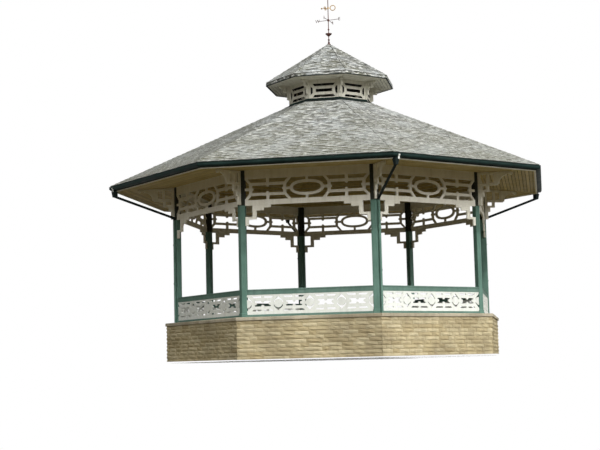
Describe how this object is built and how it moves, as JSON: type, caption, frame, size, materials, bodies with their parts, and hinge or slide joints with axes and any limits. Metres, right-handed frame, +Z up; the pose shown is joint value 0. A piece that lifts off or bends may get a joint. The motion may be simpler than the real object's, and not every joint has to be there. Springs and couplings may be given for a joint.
{
  "type": "octagonal park bandstand",
  "caption": "Octagonal timber bandstand on a stone plinth, with fretwork friezes and railings, a wide slated roof, a slotted lantern on top and a wind vane that turns.",
  "frame": {"origin": "centre of the base on the ground", "axes": "+Z up; the front bay faces -Y; the entrance steps are at the +Y bay; +X to the right seen from the front"},
  "size_m": [12.93, 12.93, 11.7],
  "materials": {
    "plinth_stone": "rock-faced coursed sandstone",
    "coping_stone": "sawn weathered sandstone",
    "deck_stone": "stone flags",
    "post_paint": "green gloss paint on timber",
    "rail_paint": "green gloss paint on timber",
    "white_paint": "white paint on timber",
    "cream_paint": "cream paint on timber",
    "board_paint": "cream paint on tongued and grooved boards",
    "gutter_paint": "dark green paint",
    "fascia_paint": "dark green paint",
    "slates": "weathered slates with algae",
    "lantern_paint": "cream paint on timber",
    "vane_iron": "red oxide paint",
    "vane_gilt": "worn gilt"
  },
  "bodies": {
    "bandstand": {"plinth": "plinth_stone", "coping": "coping_stone", "deck_floor": "deck_stone", "entrance_steps": "coping_stone", "step_walls": "plinth_stone", "post_1": "post_paint", "post_2": "post_paint", "post_3": "post_paint", "post_4": "post_paint", "post_5": "post_paint", "post_6": "post_paint", "post_7": "post_paint", "post_8": "post_paint", "railing_front": "white_paint", "railing_front_right": "white_paint", "railing_right": "white_paint", "railing_back_right": "white_paint", "railing_back_left": "white_paint", "railing_left": "white_paint", "railing_front_left": "white_paint", "top_rails": "rail_paint", "bottom_rails": "rail_paint", "frieze_1": "cream_paint", "frieze_2": "cream_paint", "frieze_3": "cream_paint", "frieze_4": "cream_paint", "frieze_5": "cream_paint", "frieze_6": "cream_paint", "frieze_7": "cream_paint", "frieze_8": "cream_paint", "stepped_brackets": "cream_paint", "eaves_brackets": "cream_paint", "ring_beam": "board_paint", "soffit": "board_paint", "ceiling": "board_paint", "fascia": "fascia_paint", "gutter": "gutter_paint", "downpipes": "gutter_paint", "main_roof": "slates", "lantern_lining": "board_paint", "lantern_curb": "fascia_paint", "lantern_panels": "lantern_paint", "lantern_corners": "lantern_paint", "lantern_soffit": "lantern_paint", "lantern_roof": "slates", "mast": "vane_iron", "compass_arms": "vane_iron"},
    "wind_vane": {"vane": "vane_gilt"}
  },
  "joints": [
    {"name": "vane_turn", "type": "hinge", "parent": "bandstand", "child": "wind_vane", "pos_m": [0, 0, 11.17], "axis": [0, 0, 1], "continuous": true}
  ]
}
